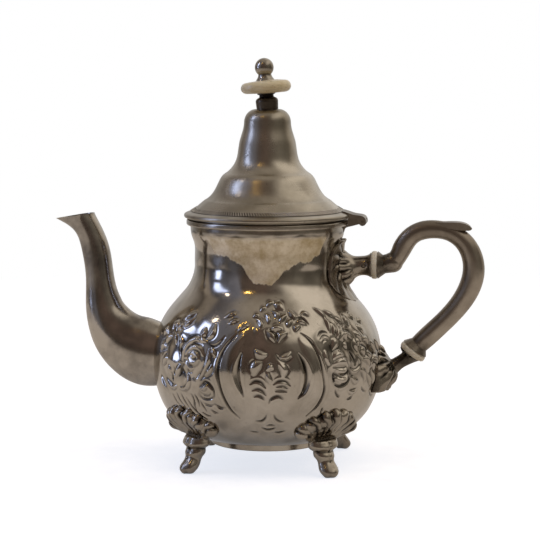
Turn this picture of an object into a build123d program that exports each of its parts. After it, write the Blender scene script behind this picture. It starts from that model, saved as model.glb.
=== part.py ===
# Footed silver teapot of the Moroccan pattern: a raised pear-shaped vessel on four cast
# shell feet, with a beaked spout, a hinged tiered lid and a cast handle kept cool by two
# bone rings. Millimetres. The origin is on the vessel's axis at table level, +Z is up,
# +X points at the handle and -X at the spout.
from build123d import *
from math import asin, cos, pi, radians, sin, sqrt
import os

os.makedirs("parts", exist_ok=True)

# ---------------------------------------------------------------- driving dimensions
# vessel
sheet = 0.9                 # wall of the raised vessel and of its pan
base_radius = 31.0          # pan under the vessel
base_height = 14.8          # underside of the belly
pan_depth = 3.5
belly_radius = 62.6
belly_rise = 41.2           # from the base to the widest ring
belly_fullness = 31.7       # how long the belly stays full above its widest ring
shoulder_rise = 56.0        # from the widest ring to where the neck starts
neck_radius = 39.6
neck_ease = 22.7            # how softly the shoulder runs into the neck
neck_length = 5.0           # straight part of the neck
throat_swell = 2.3          # the throat's radius past the neck's
throat_rise = 12.5
mouth_rise = 3.8            # straight rim over the throat
floor_lap = 2.0             # turned-in lap that the pan is soldered to

# rolled collar of the mouth
collar_width = 2.2          # how far it stands out from the throat
collar_depth = 2.4          # how far it comes down from the mouth
collar_lip = 0.8
collar_round = 1.0

# spout and its strainer
spout_sheet = 0.9
spout_hole = 13.5           # radius of the hole in the belly behind the spout
spout_rise = 2.6            # centre of the spout's root above the widest ring
strainer_sheet = 0.6
strainer_lap = 2.0
strainer_pitch = 4.6
strainer_hole = 1.3
strainer_rings = 2

# bone rings and what they are pinned to
ring_radius = 7.6
ring_thickness = 3.7
ring_round = 1.5
tenon_radius = 3.4
tenon_length = 7.0
lower_tenon_radius = 2.9
lower_tenon_depth = 2.6     # the short tenon in the slim lower bracket
pin_radius = 0.8
pin_setback = 3.8           # from a ring's face to a cross pin
pin_proud = 0.25
fit = 0.04                  # radial clearance of pins and tenons
upper_ring_gap = 19.0       # centre of the upper ring beyond the neck
upper_ring_drop = 23.9      # and below the mouth
lower_ring_gap = 17.1       # centre of the lower ring beyond the belly
lower_ring_rise = 6.5       # and above its widest ring
lower_ring_angle = 53.6     # lean of the lower ring's axis above the horizontal

# brackets
plaque_thickness = 1.8
plaque_droop = 1.3          # how far its outer face is let down, to thin its lower tip
socket_radius = 5.5
socket_flare = 7.1
flare_length = 2.6

# handle
handle_span = 59.4          # from the upper ring out to the bar's furthest point
handle_collar = 7.5
handle_collar_length = 3.9
handle_collar_end = 4.6     # its small end, buried in the bar
handle_inset = 0.7          # the bar starts this far inside its collar
thumb_share = 0.419         # its length as a share of the handle's span
thumb_width = 9.5
thumb_lift = 3.1
thumb_sink = 1.0

# lid
lid_sheet = 0.7
lid_rise = 54.6             # from the step at the lid's foot to its crown
crown_flat = 6.2
flange_overhang = 1.3       # past the collar
flange_lift = 1.6           # of the flange's underside over the mouth
flange_width = 4.8          # from the rim in to the step
flange_thickness = 4.0      # from the underside to the top of the step
flange_edge = 1.5           # fall from the step to the rolled rim
crown_shoulder = 6.5        # how far the crown's round shoulder stands out
crown_drop = 7.2            # and how far it comes down
# The bell and the two tiers under it: radius, and height as a share of the lid's rise.
bell_foot = [(15.2, 0.68), (17.6, 0.475), (23.2, 0.362)]
tier_foot = [(27.3, 0.25), (34.2, 0.098)]
plug_play = 0.5             # between the lid's plug and the vessel's wall
plug_wall = 0.9
plug_depth = 3.7            # below the mouth
lid_gap = 0.3               # between the lid's shoulder and the collar
shoulder_width = 2.1        # of the bezel's shoulder, past the plug
shoulder_sink = 2.0         # of the shoulder into the flange

# hinge
hinge_offset = 8.2          # of the pin from the collar
hinge_drop = 0.2            # and below the mouth
knuckle_radius = 2.0
hinge_pin_radius = 0.9
hinge_play = 0.05
hinge_width = 13.0
centre_knuckle = 5.0
knuckle_gap = 0.25
leaf_gap = 0.35

# finial
finial_lean = 4.5           # degrees, towards the spout: the stud stands a little askew
base_collar_radius = 6.1
base_collar_height = 6.1
stem_radius = 3.9
stem_length = 2.8           # from the collar's top to the disc's seat
flange_seat_radius = 4.9
disc_radius = 13.3
disc_thickness = 5.2
disc_bore = 2.7
disc_float = 0.3            # the loose disc above its seat
disc_play = 0.9             # and under the ball's skirt
ball_radius = 5.1
ball_rise = 7.2             # centre of the ball above the underside of its skirt
ball_neck = 3.5
skirt_radius = 5.2
skirt_height = 1.8
stud_radius = 2.0
nut_across = 7.5
nut_thickness = 3.2

# feet
foot_azimuth = 45.0
fan_reach = 19.0            # along the belly, from the ankle to the lobes' round ends
fan_spread = 114.0          # degrees
fan_lobes = 7
lobe_radius = 4.7
lobe_root = 2.6             # radius of a lobe where it leaves the ankle
lobe_sink = 0.2             # how far a lobe's centre line lies under the belly's skin
ankle_rise = 3.7            # of the ankle over the base
toe_radius = 53.0
sole_radius = 2.8

# ---------------------------------------------------------------- what follows from them
belly_height = base_height + belly_rise
neck_height = belly_height + shoulder_rise
throat_height = neck_height + neck_length + throat_rise
mouth_height = throat_height + mouth_rise
throat_radius = neck_radius + throat_swell
collar_radius = throat_radius + collar_width
collar_bottom = mouth_height - collar_depth

flange_radius = collar_radius + flange_overhang
flange_bottom = mouth_height + flange_lift
flange_step_radius = flange_radius - flange_width
flange_step_height = flange_bottom + flange_thickness
crown_height = flange_step_height + lid_rise
plug_radius = throat_radius - sheet - plug_play
plug_bottom = mouth_height - plug_depth
shoulder_radius = plug_radius + shoulder_width
shoulder_height = flange_bottom + shoulder_sink

hinge_x = collar_radius + hinge_offset
hinge_z = mouth_height - hinge_drop

upper_ring_reach = neck_radius + upper_ring_gap
upper_ring_height = mouth_height - upper_ring_drop
lower_ring_reach = belly_radius + lower_ring_gap
lower_ring_height = belly_height + lower_ring_rise
handle_reach = upper_ring_reach + handle_span
ankle_height = base_height + ankle_rise

# ---------------------------------------------------------------- shared outlines
def vessel_half(grown, top):
    """Half section of the vessel, grown outwards and closed on the axis at a given top."""
    with BuildSketch(Plane.XZ) as half:
        with BuildLine():
            Line((0, top), (0, base_height - grown))
            floor = Line((0, base_height - grown), (base_radius, base_height - grown))
            bowl = EllipticalCenterArc(
                (base_radius, belly_height),
                belly_radius - base_radius + grown,
                belly_height - base_height + grown,
                start_angle=270,
                arc_size=90,
            )
            shoulder = Bezier(
                bowl @ 1,
                (belly_radius + grown, belly_height + belly_fullness),
                (neck_radius + grown, neck_height - neck_ease),
                (neck_radius + grown, neck_height),
            )
            neck_top = neck_height + neck_length
            neck = Line(shoulder @ 1, (neck_radius + grown, neck_top))
            swell = (throat_height - neck_top) / 2
            throat = Bezier(
                neck @ 1,
                (neck_radius + grown, neck_top + swell),
                (throat_radius + grown, throat_height - swell),
                (throat_radius + grown, throat_height),
            )
            Line(throat @ 1, (throat_radius + grown, top))
            Line((throat_radius + grown, top), (0, top))
        make_face()
    return half.sketch


def lid_half(inset):
    """Half section of the lid's dome down to its flange, drawn in by one distance."""
    low = flange_step_height - inset
    rise = crown_height - flange_step_height
    with BuildSketch(Plane.XZ) as half:
        with BuildLine():
            Line((0, low), (0, crown_height - inset))
            Line((0, crown_height - inset), (crown_flat - inset, crown_height - inset))
            crown = EllipticalCenterArc(
                (crown_flat - inset, crown_height - crown_drop - inset),
                crown_shoulder,
                crown_drop,
                start_angle=0,
                arc_size=90,
            )
            wall = Spline(
                crown @ 0,
                *[(radius - inset, low + share * rise) for radius, share in bell_foot],
                tangents=[(0.05, -1), (1, -0.55)],
            )
            tier = Spline(
                wall @ 1,
                *[(radius - inset, low + share * rise) for radius, share in tier_foot],
                tangents=[(1, -0.65), (1, -0.5)],
            )
            skirt = Spline(
                tier @ 1,
                (flange_step_radius - inset, low),
                tangents=[(1, -0.75), (1, -0.8)],
            )
            Line(skirt @ 1, (0, low))
        make_face()
    return half.sketch


def mirrored(half):
    """Close a half outline, given from top to bottom, by its mirror image."""
    return half + [(-across, up) for across, up in reversed(half) if across > 0]


with BuildPart() as vessel_solid:
    revolve(vessel_half(0, mouth_height), axis=Axis.Z)

with BuildPart() as vessel_room:
    revolve(vessel_half(-sheet, mouth_height + 1), axis=Axis.Z)

# ---------------------------------------------------------------- vessel
root_height = belly_height + spout_rise

with BuildPart() as body_shell:
    add(vessel_solid.part)
    add(vessel_room.part, mode=Mode.SUBTRACT)
    with Locations((0, 0, base_height)):
        Cylinder(base_radius - floor_lap, 4 * sheet, mode=Mode.SUBTRACT)
    with BuildSketch(Plane.YZ.offset(-belly_radius)):
        with Locations((0, root_height)):
            Circle(spout_hole)
    extrude(amount=belly_radius / 2, mode=Mode.SUBTRACT)
body_shell.part.label = "body_shell"
export_step(body_shell.part, "parts/body_shell.step")

pan_bottom = base_height - pan_depth

with BuildPart() as base_plate:
    with Locations((0, 0, pan_bottom)):
        Cylinder(base_radius, pan_depth, align=(Align.CENTER, Align.CENTER, Align.MIN))
    with Locations((0, 0, pan_bottom + sheet)):
        Cylinder(
            base_radius - sheet,
            pan_depth,
            align=(Align.CENTER, Align.CENTER, Align.MIN),
            mode=Mode.SUBTRACT,
        )
    fillet(base_plate.edges().filter_by(GeomType.CIRCLE).group_by(Axis.Z)[0], sheet / 2)
base_plate.part.label = "base_plate"
export_step(base_plate.part, "parts/base_plate.step")

collar_top = mouth_height + collar_lip

with BuildPart() as mouth_collar:
    with BuildSketch(Plane.XZ) as collar_section:
        with BuildLine():
            Polyline(
                (throat_radius, collar_bottom),
                (collar_radius, collar_bottom),
                (collar_radius, collar_top),
                (throat_radius - sheet, collar_top),
                (throat_radius - sheet, mouth_height),
                (throat_radius, mouth_height),
                close=True,
            )
        make_face()
        fillet(collar_section.vertices().group_by(Axis.X)[-1], collar_round)
    revolve(axis=Axis.Z)
mouth_collar.part.label = "mouth_collar"
export_step(mouth_collar.part, "parts/mouth_collar.step")

# ---------------------------------------------------------------- spout
# Stations along the spout: reach beyond the belly, height above the root, direction in
# degrees above the horizontal, depth of the section and its width.
spout_stations = [
    (-10.0, -0.6, 0, 36.0, 29.0),
    (0.0, 0.0, 4, 36.6, 29.0),
    (13.6, 4.1, 22, 35.4, 27.5),
    (20.3, 9.3, 34, 31.4, 25.0),
    (26.4, 17.9, 46, 26.0, 21.5),
    (29.0, 27.0, 68, 20.6, 18.4),
    (30.5, 39.0, 86, 16.1, 16.0),
    (32.1, 52.8, 81, 15.2, 15.2),
    (34.6, 63.0, 77, 14.5, 14.8),
    (37.7, 69.6, 71, 14.2, 15.0),
]
# The mouth: a leaf-shaped opening, its back rim high and its beak low and far out.
lip_back = (33.7, 77.7)
lip_tip = (55.3, 74.4)
lip_width = 16.0


def spout_section(reach, rise, lean, depth, width, inset):
    """One oval section of the spout, square to its run."""
    run = Vector(-cos(radians(lean)), 0, sin(radians(lean)))
    place = Plane((-belly_radius - reach, 0, root_height + rise), x_dir=(0, 1, 0), z_dir=run)
    half_width = width / 2 - inset
    half_depth = depth / 2 - inset
    with BuildSketch(place) as section:
        with BuildLine():
            Spline(
                (0, -half_depth),
                (0.71 * half_width, -0.71 * half_depth),
                (half_width, 0),
                (0.71 * half_width, 0.71 * half_depth),
                (0, half_depth),
                (-0.71 * half_width, 0.71 * half_depth),
                (-half_width, 0),
                (-0.71 * half_width, -0.71 * half_depth),
                periodic=True,
            )
        make_face()
    return section.sketch


def spout_lip(inset):
    """The leaf-shaped mouth of the spout."""
    back = Vector(-belly_radius - lip_back[0], 0, root_height + lip_back[1])
    tip = Vector(-belly_radius - lip_tip[0], 0, root_height + lip_tip[1])
    along = (tip - back).normalized()
    length = (tip - back).length
    place = Plane(back, x_dir=(0, 1, 0), z_dir=along.cross(Vector(0, 1, 0)) * -1)
    half_width = lip_width / 2 - inset
    with BuildSketch(place) as section:
        with BuildLine():
            Spline(
                (0, inset),
                (0.72 * half_width, 0.12 * length + inset / 2),
                (half_width, 0.36 * length),
                (0.62 * half_width, 0.66 * length - inset),
                (0, length - 2.5 * inset),
                (-0.62 * half_width, 0.66 * length - inset),
                (-half_width, 0.36 * length),
                (-0.72 * half_width, 0.12 * length + inset / 2),
                periodic=True,
            )
        make_face()
    return section.sketch


with BuildPart() as spout_room:
    loft([spout_section(*s, spout_sheet) for s in spout_stations] + [spout_lip(0.6)])

with BuildPart() as spout:
    loft([spout_section(*s, 0) for s in spout_stations] + [spout_lip(0)])
    add(spout_room.part, mode=Mode.SUBTRACT)
    add(vessel_solid.part, mode=Mode.SUBTRACT)
spout.part.label = "spout"
export_step(spout.part, "parts/spout.step")

with BuildPart() as strainer_room:
    revolve(vessel_half(-sheet - strainer_sheet, mouth_height), axis=Axis.Z)

with BuildPart() as strainer:
    with BuildSketch(Plane.YZ.offset(-belly_radius)):
        with Locations((0, root_height)):
            Circle(spout_hole + strainer_lap)
    extrude(amount=belly_radius / 2)
    add(vessel_room.part, mode=Mode.INTERSECT)
    add(strainer_room.part, mode=Mode.SUBTRACT)
    with BuildSketch(Plane.YZ.offset(-belly_radius)):
        with Locations((0, root_height)):
            Circle(strainer_hole)
            for ring in range(1, strainer_rings + 1):
                with PolarLocations(ring * strainer_pitch, 6 * ring):
                    Circle(strainer_hole)
    extrude(amount=belly_radius / 2, mode=Mode.SUBTRACT)
strainer.part.label = "strainer"
export_step(strainer.part, "parts/strainer.step")

# ---------------------------------------------------------------- bone rings and pins
upper_seat = Plane(
    (upper_ring_reach, 0, upper_ring_height), x_dir=(0, 1, 0), z_dir=(1, 0, 0)
)
lower_run = Vector(cos(radians(lower_ring_angle)), 0, sin(radians(lower_ring_angle)))
lower_seat = Plane(
    (lower_ring_reach, 0, lower_ring_height), x_dir=(0, 1, 0), z_dir=lower_run
)
ring_face = ring_thickness / 2
pin_station = ring_face + pin_setback


def cross_bar(seat, station, radius, length, mode):
    """A pin, or the hole for one, across a ring's axis and level with the table."""
    with Locations(seat.offset(station)):
        Cylinder(radius, length, rotation=(0, 90, 0), mode=mode)


def tenon_bore(seat, near, far, radius):
    """The bore for a tenon along a ring's axis."""
    with Locations(seat.offset((near + far) / 2)):
        Cylinder(radius, abs(far - near), mode=Mode.SUBTRACT)


with BuildPart(upper_seat) as upper_insulator:
    Cylinder(ring_radius, ring_thickness)
    fillet(upper_insulator.edges().filter_by(GeomType.CIRCLE), ring_round)
    Cylinder(tenon_radius, ring_thickness + 2 * tenon_length)
    for side in (-1, 1):
        with Locations((0, 0, side * pin_station)):
            Cylinder(
                pin_radius + fit, 4 * tenon_radius, rotation=(0, 90, 0), mode=Mode.SUBTRACT
            )
upper_insulator.part.label = "upper_insulator"
export_step(upper_insulator.part, "parts/upper_insulator.step")

with BuildPart(lower_seat) as lower_insulator:
    Cylinder(ring_radius, ring_thickness)
    fillet(lower_insulator.edges().filter_by(GeomType.CIRCLE), ring_round)
    with Locations((0, 0, -ring_face - lower_tenon_depth)):
        Cylinder(
            lower_tenon_radius,
            lower_tenon_depth + ring_thickness + tenon_length,
            align=(Align.CENTER, Align.CENTER, Align.MIN),
        )
    with Locations((0, 0, pin_station)):
        Cylinder(
            pin_radius + fit, 4 * tenon_radius, rotation=(0, 90, 0), mode=Mode.SUBTRACT
        )
lower_insulator.part.label = "lower_insulator"
export_step(lower_insulator.part, "parts/lower_insulator.step")

# ---------------------------------------------------------------- upper bracket
# Half outline of the leaf plaque: across, and up from the ring's axis.
upper_leaf = [
    (0, 14.0),
    (7.5, 13.2),
    (15.3, 9.0),
    (19.6, -2.0),
    (20.6, -8.5),
    (18.6, -14.0),
    (12.0, -18.0),
    (0, -19.4),
]
# Stations of its socket, which swells into the plaque: distance back from the ring, radius,
# and how far its centre lies under the ring's axis.
bracket_stations = [
    (20.0, 12.0, 2.6),
    (16.1, 9.6, 2.2),
    (13.1, 7.9, 2.4),
    (11.2, 6.4, 1.6),
    (8.9, socket_radius, 0.8),
    (ring_face + flare_length, socket_radius, 0.3),
    (ring_face, socket_flare, 0),
]

with BuildPart() as plaque_skin:
    revolve(vessel_half(plaque_thickness, mouth_height), axis=Axis.Z)

with BuildPart() as upper_socket:
    discs = []
    for back, radius, drop in bracket_stations:
        with BuildSketch(Plane.YZ.offset(upper_ring_reach - back)) as disc:
            with Locations((0, upper_ring_height - drop)):
                Circle(radius)
        discs.append(disc.sketch)
    loft(discs)

with BuildPart() as upper_bracket:
    with BuildSketch(Plane.YZ.offset(neck_radius / 3)):
        with BuildLine():
            Spline(
                [(across, upper_ring_height + up) for across, up in mirrored(upper_leaf)],
                periodic=True,
            )
        make_face()
    extrude(amount=belly_radius)
    with Locations((0, 0, -plaque_droop)):
        add(plaque_skin.part, mode=Mode.INTERSECT)
    add(upper_socket.part)
    add(vessel_solid.part, mode=Mode.SUBTRACT)
    tenon_bore(upper_seat, -ring_face - tenon_length, -ring_face, tenon_radius + fit)
    cross_bar(upper_seat, -pin_station, pin_radius + fit, 4 * socket_radius, Mode.SUBTRACT)
upper_bracket.part.label = "upper_bracket"
export_step(upper_bracket.part, "parts/upper_bracket.step")

# ---------------------------------------------------------------- lower bracket
# Stations of the fluted foot on the belly: height above the widest ring, reach beyond the
# belly's radius, half width.
foot_stations = [
    (9.5, -0.8, 6.0),
    (4.5, 3.0, 11.0),
    (0.5, 6.0, 13.5),
    (-5.0, 8.8, 15.0),
    (-10.0, 7.2, 16.5),
    (-14.0, 5.0, 17.5),
]
foot_core = belly_radius - 4.6      # centre of the ovals
# Centres of the slim socket: reach and height from the ring's centre, radius.
socket_stations = [
    (-15.0, -11.6, 5.2),
    (-10.6, -8.6, 4.2),
    (-7.3, -6.3, 3.6),
    (-5.1, -4.9, 3.65),
]

with BuildPart() as lower_foot:
    ovals = []
    for rise, reach, half_width in foot_stations:
        with BuildSketch(Plane.XY.offset(belly_height + rise)) as oval:
            with Locations((foot_core, 0)):
                Ellipse(belly_radius + reach - foot_core, half_width)
        ovals.append(oval.sketch)
    loft(ovals)

with BuildPart() as lower_socket:
    mouth = lower_seat.origin - lower_run * ring_face
    waist = lower_seat.origin - lower_run * (ring_face + flare_length - 0.9)
    centres = [
        (lower_ring_reach + reach, 0, lower_ring_height + rise)
        for reach, rise, _ in socket_stations
    ]
    centres = centres + [waist, mouth]
    radii = [radius for _, _, radius in socket_stations] + [4.6, socket_flare - 0.3]
    line = Spline(*centres, tangents=[(1, 0, 0.55), lower_run])
    discs = []
    for centre, radius in zip(centres, radii):
        along = line % line.param_at_point(centre)
        with BuildSketch(Plane(centre, x_dir=(0, 1, 0), z_dir=along)) as disc:
            Circle(radius)
        discs.append(disc.sketch)
    loft(discs)

with BuildPart() as lower_bracket:
    add(lower_socket.part)
    add(lower_foot.part)
    add(vessel_solid.part, mode=Mode.SUBTRACT)
    tenon_bore(
        lower_seat, -ring_face - lower_tenon_depth, -ring_face, lower_tenon_radius + fit
    )
lower_bracket.part.label = "lower_bracket"
export_step(lower_bracket.part, "parts/lower_bracket.step")

# ---------------------------------------------------------------- handle
# A short stub runs from the upper ring to a round elbow; from the elbow the bar rises,
# arches over and falls to the lower ring. Stations are how far out as a share of the
# handle's reach past a ring, how far up from it, and the radius: from the upper ring as far
# as the crest's far side, and from the lower ring after that.
elbow = (0.165, 1.6, 5.6)
crest_stations = [
    (0.234, 7.5, 5.1),
    (0.3266, 15.7, 5.0),
    (0.4343, 19.1, 5.0),
    (0.5387, 19.8, 4.9),
    (0.6667, 18.6, 4.8),
    (0.803, 13.5, 5.1),
    (0.8822, 5.6, 5.6),
]
fall_stations = [
    (0.7781, 34.3, 5.9),
    (0.6371, 25.4, 5.6),
    (0.3864, 14.8, 5.4),
    (0.1723, 7.0, 5.4),
]
bulge_radius = 5.9          # the bar's thickness where it reaches furthest out
bulge_drop = 2.4            # and how far that lies below the upper ring
bar_root_radius = 4.9       # inside the elbow and inside the lower collar
bar_root_rise = (0.5, 0, 0.86)

fall_span = handle_reach - lower_ring_reach
elbow_reach = elbow[0] * handle_span
elbow_centre = upper_seat.origin + Vector(elbow_reach, 0, elbow[1])
bar_centres = [elbow_centre]
bar_radii = [bar_root_radius]
for share, up, radius in crest_stations:
    bar_centres.append(upper_seat.origin + Vector(share * handle_span, 0, up))
    bar_radii.append(radius)
bar_centres.append(Vector(handle_reach - bulge_radius, 0, upper_ring_height - bulge_drop))
bar_radii.append(bulge_radius)
for share, up, radius in fall_stations:
    bar_centres.append(lower_seat.origin + Vector(share * fall_span, 0, up))
    bar_radii.append(radius)
bar_centres.append(lower_seat.origin + lower_run * (ring_face + handle_inset))
bar_radii.append(bar_root_radius)
bar_line = Spline(*bar_centres, tangents=[bar_root_rise, lower_run * -1])

with BuildPart() as handle_core:
    rounds = []
    for centre, radius in zip(bar_centres, bar_radii):
        along = bar_line % bar_line.param_at_point(centre)
        with BuildSketch(Plane(centre, x_dir=(0, 1, 0), z_dir=along)) as disc:
            Circle(radius)
        rounds.append(disc.sketch)
    loft(rounds)

with BuildPart() as handle:
    add(handle_core.part)
    with Locations(elbow_centre):
        Sphere(elbow[2])
    stub = []
    for out, up, radius in (
        (ring_face + handle_inset, 0, bar_root_radius),
        (elbow_reach, *elbow[1:]),
    ):
        with BuildSketch(Plane.YZ.offset(upper_ring_reach + out)) as disc:
            with Locations((0, upper_ring_height + up)):
                Circle(radius)
        stub.append(disc.sketch)
    loft(stub)
    for seat in (upper_seat, lower_seat):
        with Locations(seat.offset(ring_face)):
            Cone(
                handle_collar,
                handle_collar_end,
                handle_collar_length,
                align=(Align.CENTER, Align.CENTER, Align.MIN),
            )
        tenon_bore(seat, ring_face, ring_face + tenon_length, tenon_radius + fit)
        cross_bar(seat, pin_station, pin_radius + fit, 4 * socket_radius, Mode.SUBTRACT)
handle.part.label = "handle"
export_step(handle.part, "parts/handle.step")

# Thumb rest: a leaf on the crest, its tip lifted clear of the handle. Its points are at
# shares of its length from the crest's station, and of its width.
crest_share, crest_up, crest_radius = crest_stations[3]
crest = upper_seat.origin + Vector(crest_share * handle_span, 0, crest_up)
crest_top = crest.Z + crest_radius - thumb_sink
thumb_length = thumb_share * handle_span
leaf_side = [(0.08, 0.36), (0.44, 0.5), (0.74, 0.34)]
leaf_back = -0.185
leaf_tip = 0.823

with BuildPart() as thumb_rest:
    with BuildSketch(Plane.XZ):
        with BuildLine():
            back = (crest.X - 0.18 * thumb_length, crest_top - 0.4)
            tip = (crest.X + 0.82 * thumb_length, crest_top - 3.4)
            top = Spline(
                back,
                (crest.X + 0.32 * thumb_length, crest_top + 0.25),
                tip,
                tangents=[(1, 0.12), (0.55, -1)],
            )
            under = Spline(
                tip,
                (crest.X + 0.7 * thumb_length, crest_top - 4.2),
                (crest.X + 0.36 * thumb_length, crest_top - thumb_lift),
                tangents=[(-0.4, -1), (-1, 0.25)],
            )
            Polyline(under @ 1, (back[0], crest_top - thumb_lift), back)
        make_face()
    extrude(amount=thumb_width, both=True)
    with BuildSketch(Plane.XY.offset(crest_top - thumb_width)):
        with BuildLine():
            Spline(
                (crest.X + leaf_back * thumb_length, 0),
                *[(crest.X + x * thumb_length, y * thumb_width) for x, y in leaf_side],
                (crest.X + leaf_tip * thumb_length, 0),
                *[(crest.X + x * thumb_length, -y * thumb_width) for x, y in leaf_side[::-1]],
                periodic=True,
            )
        make_face()
    extrude(amount=2 * thumb_width, mode=Mode.INTERSECT)
    add(handle_core.part, mode=Mode.SUBTRACT)
thumb_rest.part.label = "thumb_rest"
export_step(thumb_rest.part, "parts/thumb_rest.step")

# Cross pins, each as long as its socket is wide there, with both ends a little proud.
for name, seat, station, width in (
    ("upper_socket_pin", upper_seat, -pin_station, 2 * socket_radius),
    ("upper_handle_pin", upper_seat, pin_station, 2 * (socket_radius - 0.2)),
    ("lower_handle_pin", lower_seat, pin_station, 2 * (socket_radius - 0.1)),
):
    with BuildPart() as pin:
        cross_bar(seat, station, pin_radius, width + 2 * pin_proud, Mode.ADD)
        fillet(pin.edges().filter_by(GeomType.CIRCLE), pin_proud)
    pin.part.label = name
    export_step(pin.part, f"parts/{name}.step")

# ---------------------------------------------------------------- lid
lean_axis = Axis((0, 0, crown_height), (0, 1, 0))

with BuildPart() as stud_hole:
    with Locations((0, 0, crown_height)):
        Cylinder(stud_radius + fit, 6 * lid_sheet)

with BuildPart() as lid_dome:
    revolve(lid_half(0), axis=Axis.Z)
    revolve(lid_half(lid_sheet), axis=Axis.Z, mode=Mode.SUBTRACT)
    with BuildSketch(Plane.XZ):
        with BuildLine():
            rim_top = (flange_radius - 0.9, flange_step_height - flange_edge)
            step_top = (flange_step_radius - 2 * lid_sheet, flange_step_height)
            shelf = Polyline(step_top, (flange_step_radius, flange_step_height), rim_top)
            roll = Spline(
                rim_top,
                (flange_radius, (rim_top[1] + flange_bottom) / 2),
                (flange_radius - 1.0, flange_bottom),
                tangents=[(1, -0.4), (-1, -0.2)],
            )
            Polyline(
                roll @ 1,
                (shoulder_radius, flange_bottom + 0.6),
                (shoulder_radius, shoulder_height),
                (flange_step_radius - 2 * lid_sheet, shoulder_height),
                step_top,
            )
        make_face()
    revolve(axis=Axis.Z)
    add(stud_hole.part.rotate(lean_axis, -finial_lean), mode=Mode.SUBTRACT)
lid_dome.part.label = "lid_dome"
export_step(lid_dome.part, "parts/lid_dome.step")

with BuildPart() as lid_bezel:
    with BuildSketch(Plane.XZ):
        with BuildLine():
            shoulder_bottom = collar_top + lid_gap
            Polyline(
                (plug_radius - plug_wall, plug_bottom),
                (plug_radius, plug_bottom),
                (plug_radius, shoulder_bottom),
                (shoulder_radius, shoulder_bottom),
                (shoulder_radius, shoulder_height),
                (plug_radius - plug_wall, shoulder_height),
                close=True,
            )
        make_face()
    revolve(axis=Axis.Z)
lid_bezel.part.label = "lid_bezel"
export_step(lid_bezel.part, "parts/lid_bezel.step")

# ---------------------------------------------------------------- hinge
pin_place = Plane((hinge_x, 0, hinge_z), x_dir=(1, 0, 0), z_dir=(0, -1, 0))

with BuildPart() as lid_leaf:
    with BuildSketch(Plane.XZ):
        with BuildLine():
            heel = (flange_step_radius - 0.3, flange_step_height + 0.25)
            end = (hinge_x + knuckle_radius, hinge_z)
            top = Spline(
                heel,
                (hinge_x - 3.8, flange_step_height - 1.9),
                (hinge_x + 0.9, hinge_z + 2.7),
                end,
                tangents=[(1, -0.1), (0, -1)],
            )
            Polyline(
                end,
                (hinge_x, hinge_z),
                (hinge_x - knuckle_radius, hinge_z),
                (hinge_x - 3.0, flange_bottom),
                (flange_radius - 1, flange_bottom),
                (flange_radius - 1, shoulder_height + 0.2),
                (flange_step_radius - 0.3, shoulder_height + 0.2),
                heel,
            )
        make_face()
        with Locations((hinge_x, hinge_z)):
            Circle(knuckle_radius)
    extrude(amount=hinge_width / 2, both=True)
    add(lid_dome.part, mode=Mode.SUBTRACT)
    with Locations((hinge_x, 0, hinge_z + knuckle_radius + leaf_gap)):
        Box(
            2 * (hinge_x - flange_radius),
            centre_knuckle + 2 * knuckle_gap,
            4 * knuckle_radius,
            align=(Align.MAX, Align.CENTER, Align.MAX),
            mode=Mode.SUBTRACT,
        )
    with Locations(pin_place):
        Cylinder(
            knuckle_radius + leaf_gap, centre_knuckle + 2 * knuckle_gap, mode=Mode.SUBTRACT
        )
        Cylinder(hinge_pin_radius + 0.02, 2 * hinge_width, mode=Mode.SUBTRACT)
lid_leaf.part.label = "lid_leaf"
export_step(lid_leaf.part, "parts/lid_leaf.step")

with BuildPart() as hinge_pin:
    with Locations(pin_place):
        Cylinder(hinge_pin_radius, hinge_width + 2 * pin_proud)
    fillet(hinge_pin.edges().filter_by(GeomType.CIRCLE), pin_proud)
hinge_pin.part.label = "hinge_pin"
export_step(hinge_pin.part, "parts/hinge_pin.step")

strap_top = flange_bottom - leaf_gap

with BuildPart() as hinge_bracket:
    with BuildSketch(Plane.XZ):
        with BuildLine():
            web = Spline(
                (collar_radius + 1.0, collar_bottom - 0.6),
                (throat_radius, collar_bottom - 3.6),
                tangents=[(-1, -0.1), (-0.1, -1)],
            )
            Polyline(
                web @ 1,
                (neck_radius - 2, collar_bottom - 3.6),
                (neck_radius - 2, collar_bottom),
                (collar_radius - 1.0, collar_bottom),
                (collar_radius - 1.0, strap_top),
                (hinge_x - 2.6, strap_top),
                (hinge_x, hinge_z + knuckle_radius),
                (hinge_x, hinge_z),
                (hinge_x - 1.2, hinge_z - 1.2),
                web @ 0,
            )
        make_face()
        with Locations((hinge_x, hinge_z)):
            Circle(knuckle_radius)
    extrude(amount=centre_knuckle / 2, both=True)
    with Locations((0, 0, collar_bottom)):
        Cylinder(
            collar_radius,
            2 * mouth_height,
            align=(Align.CENTER, Align.CENTER, Align.MIN),
            mode=Mode.SUBTRACT,
        )
    add(vessel_solid.part, mode=Mode.SUBTRACT)
    with Locations(pin_place):
        Cylinder(hinge_pin_radius + hinge_play, 2 * hinge_width, mode=Mode.SUBTRACT)
hinge_bracket.part.label = "hinge_bracket"
export_step(hinge_bracket.part, "parts/hinge_bracket.step")

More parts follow.
